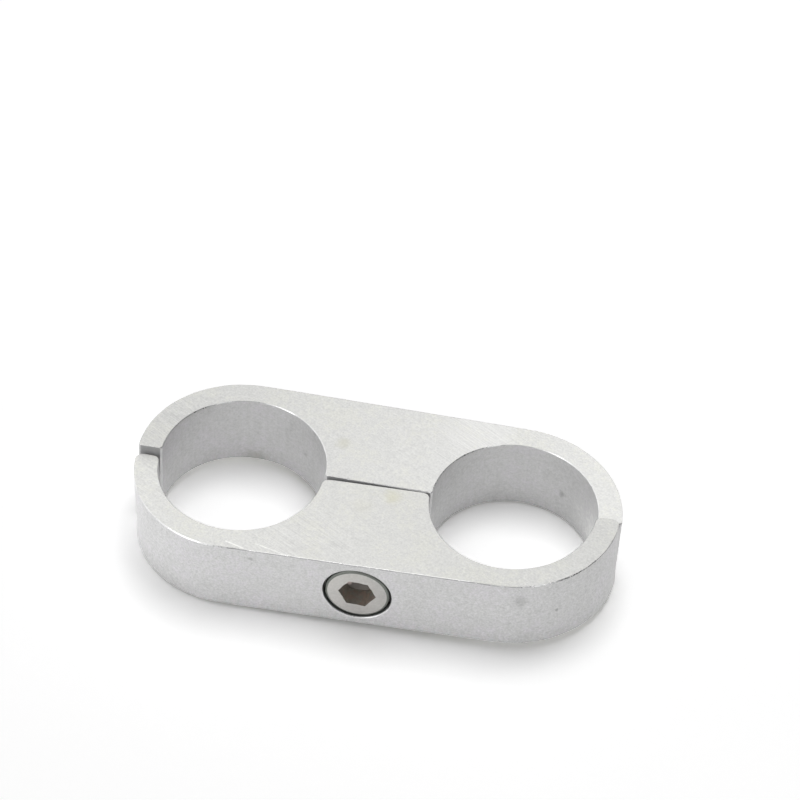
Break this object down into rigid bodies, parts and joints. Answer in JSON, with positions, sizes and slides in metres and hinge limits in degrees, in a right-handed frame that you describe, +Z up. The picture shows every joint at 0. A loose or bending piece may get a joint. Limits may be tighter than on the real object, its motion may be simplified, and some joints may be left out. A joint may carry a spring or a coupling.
{
  "type": "hydraulic tube clamp",
  "caption": "Obround aluminium plate clamp with two through bores, split lengthwise and held by a sunk hex-socket cap screw, for two parallel tubes or hoses.",
  "frame": {"origin": "middle of the clamp's box, on the surface that it lies on: midway between the two tubes and between the split faces", "axes": "+X along the plate from one tube to the other, +Z up along the tubes, -Y out of the screw's head"},
  "size_m": [0.075, 0.0332, 0.0144],
  "materials": {
    "threaded_half": "bare, milled, satin",
    "counterbored_half": "bare, milled, satin",
    "cap_screw": "stainless steel, satin"
  },
  "bodies": {
    "threaded_half": {"threaded_half": "threaded_half"},
    "counterbored_half": {"counterbored_half": "counterbored_half"},
    "cap_screw": {"cap_screw": "cap_screw"}
  },
  "joints": [
    {"name": "half_opening", "type": "slide", "parent": "threaded_half", "child": "counterbored_half", "axis": [0, -1, 0], "range_m": [-0.0004, 0.009]},
    {"name": "screw_turn", "type": "hinge", "parent": "counterbored_half", "child": "cap_screw", "pos_m": [0, -0.0166, 0.00721], "axis": [0, -1, 0], "range_deg": [-144, 3240]}
  ],
  "couplings": [
    {"joint": "screw_turn", "follows": "half_opening", "rad_per_m": 6283.2}
  ]
}
